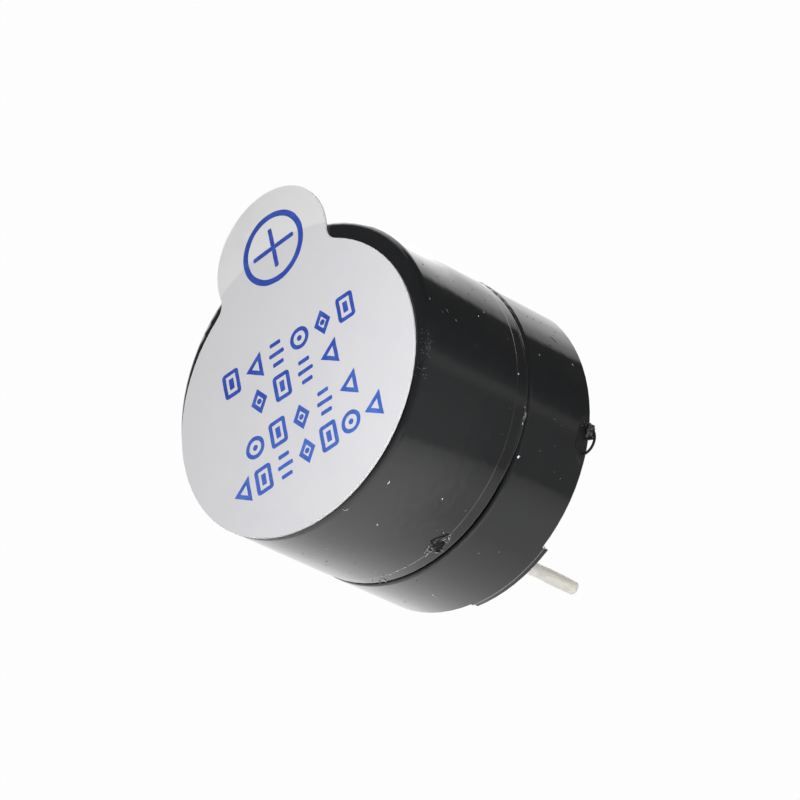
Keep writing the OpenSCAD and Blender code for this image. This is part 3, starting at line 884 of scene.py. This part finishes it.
def addResinEdge(setup):
    low, high = cornersOf("sealing_resin")
    made = bmesh.new()
    face = low.z + 0.004
    addFillet(made, 0, high.x - 0.002, face, setup["wallCreep"], -1)
    for name in ("negative_pin", "positive_pin"):
        pinLow, pinHigh = cornersOf(name)
        addFillet(made, (pinLow.x + pinHigh.x) / 2, setup["pinRadius"], face, setup["pinCreep"], 1)
    for vert in made.verts:
        if vert.co.z < low.z - 0.01:
            vert.co.z += 0.03 * noise.noise(vert.co * 1.3)
    bmesh.ops.recalc_face_normals(made, faces=made.faces)
    resin = resinFinish(setup)
    setFinish(["sealing_resin"], resin)
    keepPiece("resinEdge", made, resin)


addResinEdge(resinSetup)
print("stage: resin")

# Damage and dirt on the wall, each by its direction in degrees and height in mm
dirtSetup = {
    "edgeHeight": 4.36,     # mm, above it the wall stands out, below it is the set-back lip
    "hollows": [            # the broken patch's dark hollows: start, end, width
        ((-170.8, 4.81), (-168.4, 4.72), 0.096), ((-168.8, 4.73), (-166.7, 4.58), 0.070),
        ((-167.1, 4.59), (-165.2, 4.42), 0.048), ((-170.7, 4.79), (-171.6, 4.56), 0.070),
        ((-171.3, 4.62), (-171.0, 4.33), 0.113), ((-170.1, 4.49), (-167.8, 4.36), 0.096),
        ((-172.4, 4.44), (-171.0, 4.22), 0.139), ((-173.3, 4.32), (-172.5, 4.11), 0.087),
        ((-170.9, 4.31), (-168.3, 4.22), 0.104), ((-167.9, 4.37), (-166.4, 4.34), 0.061),
        ((-173.8, 4.53), (-174.2, 4.37), 0.061), ((-171.4, 4.18), (-169.6, 4.16), 0.061),
        ((-172.5, 4.51), (-168.8, 4.28), 0.261), ((-173.0, 4.32), (-171.4, 4.07), 0.174),
        ((-171.5, 4.54), (-167.2, 4.39), 0.148), ((-173.8, 4.18), (-172.9, 4.01), 0.087),
    ],
    "slivers": [            # its bright torn edges
        ((-172.7, 4.73), (-173.2, 4.59), 0.043), ((-173.0, 4.61), (-173.4, 4.40), 0.035),
        ((-173.8, 4.64), (-175.2, 4.51), 0.074), ((-175.6, 4.40), (-177.6, 4.34), 0.061),
        ((-174.8, 4.44), (-174.6, 4.25), 0.039), ((-174.6, 4.25), (-173.7, 3.98), 0.026),
        ((-172.0, 4.14), (-172.5, 3.96), 0.043), ((-166.2, 4.34), (-167.3, 4.17), 0.048),
        ((-165.8, 4.36), (-164.5, 4.35), 0.030), ((-164.3, 4.35), (-164.3, 4.22), 0.035),
        ((-169.3, 4.52), (-166.5, 4.46), 0.030), ((-168.7, 4.45), (-166.8, 4.36), 0.026),
        ((-168.4, 4.32), (-168.5, 4.12), 0.030), ((-170.8, 4.64), (-170.1, 4.62), 0.026),
        ((-175.0, 4.64), (-176.5, 4.50), 0.039),
    ],
    "chips": 12,            # small random ones, around this place and up to this far from it
    "chipPlace": (-170.6, 4.45),
    "chipSpread": (5.2, 0.24),
    "frays": [              # the joint's edge is torn at the lower left: start, end, width
        ((161.0, 4.1), (160.4, 3.84), 0.035), ((158.0, 4.0), (157.6, 3.84), 0.03),
        ((164.5, 4.36), (161.8, 4.33), 0.02), ((171.5, 4.38), (168.8, 4.4), 0.018),
        ((155.9, 4.1), (155.2, 3.98), 0.02), ((166.8, 4.3), (165.4, 4.36), 0.018),
        ((174.6, 4.36), (173.2, 4.4), 0.015),
    ],
    "bright": [             # white specks: direction, height, length, width, lean
        (-130.4, 3.57, 0.14, 0.095, -30), (-102.9, 4.33, 0.055, 0.045, 0), (-154.5, 5.84, 0.08, 0.045, 20),
        (-173.7, 7.3, 0.07, 0.05, 0), (-86.8, 6.2, 0.045, 0.035, 0), (-157.4, 8.39, 0.15, 0.04, 0),
        (165.5, 1.82, 0.5, 0.014, 77),
    ],
    "dullMarksAndGlint": [              # dull scratches and dust; the mark at 160° by the joint is a painted glint
        (-130.8, 1.24, 0.07, 0.04, 0), (-112.6, 2.25, 0.11, 0.04, 75),
        (-113.7, 1.86, 0.08, 0.035, 60), (-130.2, 4.34, 0.05, 0.035, 0), (-107.1, 8.94, 0.05, 0.04, 0),
        (160.0, 4.1, 0.05, 0.035, 0), (-92.0, 8.02, 0.2, 0.014, 30),
        (-108.5, 0.66, 0.11, 0.03, 40), (-110.0, 0.74, 0.08, 0.03, 60), (-154.6, 0.28, 0.06, 0.035, 0),
        (-93.5, 8.3, 0.1, 0.012, 34), (-121.5, 2.0, 0.07, 0.012, 20), (-100.2, 6.6, 0.05, 0.02, 10),
        (-126.0, 4.7, 0.06, 0.012, 60), (-80.3, 3.0, 0.05, 0.03, 0),
    ],
    "edgeDust": 70,         # grains along the cap's upper edge, around this direction
    "edgeDustPlace": -112,
    "edgeDustSpread": 9,
    "dark": [               # dark dots and a streak where the wall mirrors white
        (-70.3, 2.67, 0.07, 0.05, 0), (-69.7, 2.29, 0.06, 0.05, 0), (-69.3, 1.85, 0.05, 0.04, 0),
        (-77.8, 1.67, 0.39, 0.035, 57), (-82.6, 2.1, 0.22, 0.03, 88), (150.8, 1.74, 0.08, 0.05, 80),
        (169.6, 3.3, 0.06, 0.03, 40), (-72.4, 8.5, 0.08, 0.03, 30), (-75.8, 7.9, 0.05, 0.04, 0),
        (-70.1, 7.4, 0.04, 0.04, 0),
        (-73.3, 6.9, 0.06, 0.03, 60), (-76.9, 6.3, 0.05, 0.03, 20), (-71.8, 5.8, 0.04, 0.04, 0),
        (-75.2, 5.3, 0.07, 0.03, 50), (-72.9, 4.8, 0.04, 0.03, 0), (-74.9, 1.5, 0.05, 0.04, 0),
        (-71.4, 1.2, 0.06, 0.03, 40), (155.8, 6.49, 0.07, 0.04, 0), (151.8, 6.1, 0.05, 0.03, 20),
        (163.9, 5.9, 0.06, 0.035, 0), (153.0, 7.43, 0.06, 0.03, 0), (155.2, 5.2, 0.04, 0.03, 0),
    ],
    "fibre": {"place": (-173.1, 9.02), "curl": 0.09, "thick": 0.014, "sweep": 3.0, "lean": 2.6},
    "finishes": {           # dark and light tone, roughness, scale of the mottle, and shine
        "tornHollow": ((0.002, 0.002, 0.002), (0.02, 0.02, 0.022), 0.6, 6, 0.15),
        "tornEdge": ((0.04, 0.04, 0.045), (0.5, 0.5, 0.51), 0.5, 9),
        "frayedEdge": ((0.3, 0.3, 0.31), (0.8, 0.79, 0.79), 0.5, 9),
        "paleDust": ((0.62, 0.62, 0.63), (0.95, 0.95, 0.95), 0.55, 4),
        "dullDustAndGlint": ((0.07, 0.07, 0.075), (0.17, 0.17, 0.175), 0.6, 6),
        "darkGrime": ((0.01, 0.01, 0.01), (0.02, 0.02, 0.021), 0.75, 8, 0.2),
    },
}


def crumbFinish(name, dark, light, roughness, scale, shine=0.5):
    material, wire, shader = newFinish(name, light, roughness, 0, {"Specular IOR Level": shine})
    place = objectPlace(wire)
    mottle = noiseAt(place, scale, 3, 0.6).step(0.35, 0.65)
    feed(shader, "Base Color", mottle.tint(dark, light))
    feed(shader, "Roughness", mottle * 0.15 + roughness)
    bumpInto(shader, noiseAt(place, scale * 2, 3), 0.01)
    return material


def addThread(made, setup, radius):  # a curled fibre
    thread = bmesh.new()
    ring = bmesh.ops.create_circle(thread, segments=6, radius=setup["thick"] / 2)
    bmesh.ops.rotate(thread, verts=thread.verts, matrix=Matrix.Rotation(math.pi / 2, 3, "X"))
    bmesh.ops.translate(thread, verts=thread.verts, vec=(setup["curl"], 0, 0))
    bmesh.ops.spin(thread, geom=ring["verts"] + thread.edges[:], cent=(0, 0, 0), axis=(0, 0, 1),
                   dvec=(0, 0, 0), angle=setup["sweep"], steps=22)
    bmesh.ops.holes_fill(thread, edges=thread.edges[:], sides=8)
    bmesh.ops.recalc_face_normals(thread, faces=thread.faces)
    addShape(made, thread, wallFrame(*setup["place"], radius) @ Matrix.Rotation(setup["lean"], 4, "Z"))


def radiusAt(setup, start, end, proud, sunk):  # just outside the wall, or by the set-back lip below it
    high = (start[1] + end[1]) / 2 > setup["edgeHeight"]
    return wallRadius + proud if high else wallRadius - sunk


def addMarks(made, marks, proud, thick):
    for turn, height, length, width, lean in marks:
        addCrumb(made, turn, height, wallRadius + proud, (length, width, thick), lean)


def keepDirt(name, made, finishName, setup):
    finish = crumbFinish(finishName, *setup["finishes"][finishName])
    keepPiece(name, made, finish)


def addDirt(setup):
    draw = random.Random(11)
    core = bmesh.new()
    for start, end, width in setup["hollows"]:
        addSliver(core, start, end, width, 0.03, radiusAt(setup, start, end, 0.003, 0.028))
    keepDirt("tornCore", core, "tornHollow", setup)
    torn = bmesh.new()
    for start, end, width in setup["slivers"]:
        addSliver(torn, start, end, width, 0.035, radiusAt(setup, start, end, 0.014, 0.012))
    turnSpread, heightSpread = setup["chipSpread"]
    for index in range(setup["chips"]):
        turn = setup["chipPlace"][0] + draw.uniform(-turnSpread, turnSpread)
        height = setup["chipPlace"][1] + draw.uniform(-heightSpread, heightSpread)
        size = draw.uniform(0.015, 0.035)
        chip = (size * 1.8, size * 0.8, 0.03)
        addCrumb(torn, turn, height, wallRadius + 0.004, chip, draw.uniform(0, 180), detail=1)
    keepDirt("tornChips", torn, "tornEdge", setup)
    frays = bmesh.new()
    for start, end, width in setup["frays"]:
        addSliver(frays, start, end, width, 0.04, wallRadius - 0.008)
    keepDirt("jointFrays", frays, "frayedEdge", setup)
    pale = bmesh.new()
    addMarks(pale, setup["bright"], 0.004, 0.03)
    addThread(pale, setup["fibre"], wallRadius + 0.01)
    keepDirt("whiteSpecks", pale, "paleDust", setup)
    # dull marks, dust and one painted glint
    dullMarksAndGlint = bmesh.new()
    addMarks(dullMarksAndGlint, setup["dullMarksAndGlint"], 0.002, 0.02)
    corner = caseSetup["topRound"] * caseSetup["topGrow"]
    for index in range(setup["edgeDust"]):
        turn = setup["edgeDustPlace"] + draw.uniform(-setup["edgeDustSpread"], setup["edgeDustSpread"])
        tilt = draw.uniform(0.05, 1.1)
        size = draw.uniform(0.018, 0.04)
        height = capHigh.z - corner + corner * math.sin(tilt)
        radius = wallRadius - corner + corner * math.cos(tilt)
        addCrumb(dullMarksAndGlint, turn, height, radius, (size, size, size * 0.7), detail=1)
    keepDirt("dullDustAndGlint", dullMarksAndGlint, "dullDustAndGlint", setup)
    dark = bmesh.new()
    addMarks(dark, setup["dark"], 0, 0.012)
    keepDirt("caseGrime", dark, "darkGrime", setup)


addDirt(dirtSetup)
print("stage: damage and dirt")

# Glue that fills the joint at the -Y side, and a run of it that stands out
jointSetup = {
    "start": -141,
    "turn": 85,
    "steps": 110,
    "fadeFrom": -124,       # from here to the start it sinks into the joint
    "fadeEnd": -64,         # and from here to its other end
    "fadeLength": 8,
    "fadeDepth": 0.09,
    "section": [(5.86, 3.69), (5.935, 3.69), (5.952, 3.74), (5.955, 3.8), (5.95, 3.85), (5.9, 3.86)],
    "uneven": 0.006,
}


def addJoint(setup):
    made = bmesh.new()
    across = wayTo(setup["start"])
    places = [across * out + Vector((0, 0, up)) for out, up in setup["section"]]
    spinOutline(made, places, 0, setup["turn"], setup["steps"])
    bmesh.ops.holes_fill(made, edges=made.edges[:], sides=8)
    bmesh.ops.recalc_face_normals(made, faces=made.faces)
    for vert in made.verts:
        turn = math.degrees(math.atan2(vert.co.y, vert.co.x))
        fade = max((setup["fadeFrom"] - turn) / (setup["fadeFrom"] - setup["start"]), 0)
        fade = min(fade + max((turn - setup["fadeEnd"]) / setup["fadeLength"], 0), 1)
        sunk = setup["fadeDepth"] * fade / wallRadius
        vert.co.xy *= 1 - sunk + setup["uneven"] * 0.16 * noise.noise(vert.co * 2.3)
    sharpen(made, 60)
    keepPiece("jointGlue", made, caseBlack)


addJoint(jointSetup)

beadSetup = {
    "from": -113.4,
    "to": -119.4,
    "height": 3.80,
    "radius": 5.955,
    "count": 19,
    "size": (0.1, 0.19),
    "voxel": 0.012,
    "dark": (0.03, 0.03, 0.033),
    "light": (0.42, 0.42, 0.43),
    "roughness": 0.2,
}


def addBead(setup):
    made = bmesh.new()
    draw = random.Random(5)
    for index in range(setup["count"]):
        share = index / (setup["count"] - 1)
        size = draw.uniform(*setup["size"]) * (0.55 + 0.6 * math.sin(math.pi * min(share + 0.12, 1)))
        turn = setup["from"] + (setup["to"] - setup["from"]) * share
        addCrumb(made, turn, setup["height"] + draw.uniform(-0.02, 0.03) - 0.03 * share, setup["radius"],
                 (size, size * 0.85, size * 0.8), draw.uniform(0, 180))
    material, wire, shader = newFinish("glueBead", setup["light"], setup["roughness"])
    place = objectPlace(wire)
    glint = noiseAt(place, 9, 3, 0.65).step(0.5, 0.66)
    feed(shader, "Base Color", glint.tint(setup["dark"], setup["light"]))
    feed(shader, "Roughness", glint * 0.2 + setup["roughness"])
    bumpInto(shader, noiseAt(place, 14, 3), 0.02)
    keepPiece("jointBead", fuse(made, setup["voxel"]), material)


addBead(beadSetup)

# Lump of moulding flash at the foot of the loop on the rim
flashSetup = {
    "height": 0.48,
    "uneven": 0.002,
    "voxel": 0.014,
    "crumbs": [             # direction, radius, size along, up and outwards
        (-108.9, 6.06, 0.16, 0.17, 0.28), (-109.9, 6.2, 0.2, 0.2, 0.28), (-110.8, 6.27, 0.16, 0.19, 0.2),
        (-111.9, 6.22, 0.2, 0.15, 0.3), (-112.9, 6.24, 0.17, 0.13, 0.24), (-111.3, 6.07, 0.3, 0.16, 0.24),
        (-113.0, 6.06, 0.2, 0.13, 0.2), (-113.8, 6.36, 0.14, 0.1, 0.1), (-109.3, 6.02, 0.24, 0.22, 0.14),
    ],
    "dark": (0.01, 0.0105, 0.0115),
    "light": (0.09, 0.09, 0.095),
}


def addFlash(setup):
    made = bmesh.new()
    for turn, radius, along, up, outwards in setup["crumbs"]:
        addCrumb(made, turn, setup["height"], radius, (along, up, outwards), 0, 0.35)
    skin = fuse(made, setup["voxel"])
    for vert in skin.verts:
        vert.co *= 1 + setup["uneven"] * noise.noise(vert.co * 9)
    finish = crumbFinish("tornFlash", setup["dark"], setup["light"], 0.3, 7)
    keepPiece("flashLump", skin, finish)


addFlash(flashSetup)
print("stage: glue and flash")

# Inner pieces: each finish mixes two tones by a pattern of its own
wireGap = 0.16  # mm between the winding's turns


def brushed(place):
    return noiseAt(stretched(place, (1, 14, 14)), 1.6, 3).step(0.3, 0.7)


def ringed(place):
    x, y = parts(place)[:2]
    return (((x * x + y * y) ** 0.5) * 40).maths("SINE") * 0.5 + 0.5


def turned(place):
    return (parts(place)[2] * (2 * math.pi / wireGap)).maths("SINE") * 0.5 + 0.5


def woven(place):
    x, y = parts(place)[:2]
    return (x * 11).maths("SINE") * (y * 11).maths("SINE") * 0.5 + 0.5


def grainy(place):
    return cellsAt(place, 7).step(0.1, 0.7)


def cloudy(place):
    return noiseAt(place, 2.5, 4, 0.6).step(0.35, 0.65)


def speckled(place):
    return noiseAt(place, 12, 3, 0.6).step(0.4, 0.6)


innerSetup = [
    {"name": "solderAlloy", "nodes": ["positive_solder", "negative_solder", "lead_solder_1", "lead_solder_2",
                                      "lead_solder_3"],
     "pattern": cloudy, "dark": (0.48, 0.48, 0.49), "light": (0.72, 0.72, 0.73),
     "roughness": 0.22, "spread": 0.2, "metallic": 0.9, "depth": 0.02},
    {"name": "boardLaminate", "nodes": ["circuit_board"],
     "pattern": woven, "dark": (0.012, 0.075, 0.024), "light": (0.022, 0.12, 0.04),
     "roughness": 0.4, "spread": 0.15, "metallic": 0, "depth": 0.004},
    {"name": "copperFoil", "nodes": ["copper_tracks"],
     "pattern": brushed, "dark": (0.42, 0.16, 0.07), "light": (0.72, 0.34, 0.18),
     "roughness": 0.3, "spread": 0.2, "metallic": 1, "depth": 0.002},
    {"name": "mouldedEpoxy", "nodes": ["transistor"],
     "pattern": speckled, "dark": (0.012, 0.012, 0.013), "light": (0.024, 0.024, 0.026),
     "roughness": 0.55, "spread": 0.2, "metallic": 0, "depth": 0.006},
    {"name": "platedLead", "nodes": ["transistor_leads", "resistor_caps", "diode_caps"],
     "pattern": speckled, "dark": (0.5, 0.5, 0.49), "light": (0.74, 0.74, 0.72),
     "roughness": 0.3, "spread": 0.2, "metallic": 0.9, "depth": 0.004},
    {"name": "coatedCeramic", "nodes": ["bias_resistor"],
     "pattern": grainy, "dark": (0.015, 0.015, 0.017), "light": (0.03, 0.03, 0.033),
     "roughness": 0.35, "spread": 0.2, "metallic": 0, "depth": 0.004},
    {"name": "diodeGlass", "nodes": ["flyback_diode"],
     "pattern": cloudy, "dark": (0.3, 0.055, 0.012), "light": (0.62, 0.17, 0.04),
     "roughness": 0.06, "spread": 0.08, "metallic": 0, "depth": 0.002,
     "constants": {"Coat Weight": 0.6, "Coat Roughness": 0.05}},
    {"name": "softIron", "nodes": ["yoke_plate", "pole_core", "armature_disc"],
     "pattern": ringed, "dark": (0.36, 0.36, 0.37), "light": (0.56, 0.56, 0.58),
     "roughness": 0.34, "spread": 0.16, "metallic": 0.95, "depth": 0.003},
    {"name": "insulatingPaper", "nodes": ["coil_washer"],
     "pattern": speckled, "dark": (0.5, 0.4, 0.2), "light": (0.68, 0.57, 0.33),
     "roughness": 0.75, "spread": 0.15, "metallic": 0, "depth": 0.008},
    {"name": "enamelledWire", "nodes": ["coil_winding", "coil_lead_1", "coil_lead_2", "coil_lead_3"],
     "pattern": turned, "dark": (0.27, 0.07, 0.02), "light": (0.6, 0.22, 0.07),
     "roughness": 0.24, "spread": 0.16, "metallic": 0.85, "depth": 0.01},
    {"name": "sinteredMagnet", "nodes": ["magnet_ring"],
     "pattern": grainy, "dark": (0.02, 0.02, 0.022), "light": (0.05, 0.05, 0.053),
     "roughness": 0.5, "spread": 0.25, "metallic": 0.2, "depth": 0.012},
    {"name": "springSteel", "nodes": ["diaphragm"],
     "pattern": brushed, "dark": (0.5, 0.51, 0.53), "light": (0.7, 0.71, 0.73),
     "roughness": 0.2, "spread": 0.12, "metallic": 1, "depth": 0.001},
]


def innerFinish(setup):
    material, wire, shader = newFinish(setup["name"], setup["light"], setup["roughness"], setup["metallic"],
                                       setup.get("constants"))
    place = objectPlace(wire)
    pattern = setup["pattern"](place)
    mixed = pattern * 0.6 + noiseAt(place, 1.3, 4, 0.6) * 0.4
    feed(shader, "Base Color", mixed.tint(setup["dark"], setup["light"]))
    feed(shader, "Roughness", mixed * setup["spread"] + setup["roughness"])
    bumpInto(shader, pattern, setup["depth"])
    setFinish(setup["nodes"], material)


for inner in innerSetup:
    innerFinish(inner)
print("stage: inner pieces")
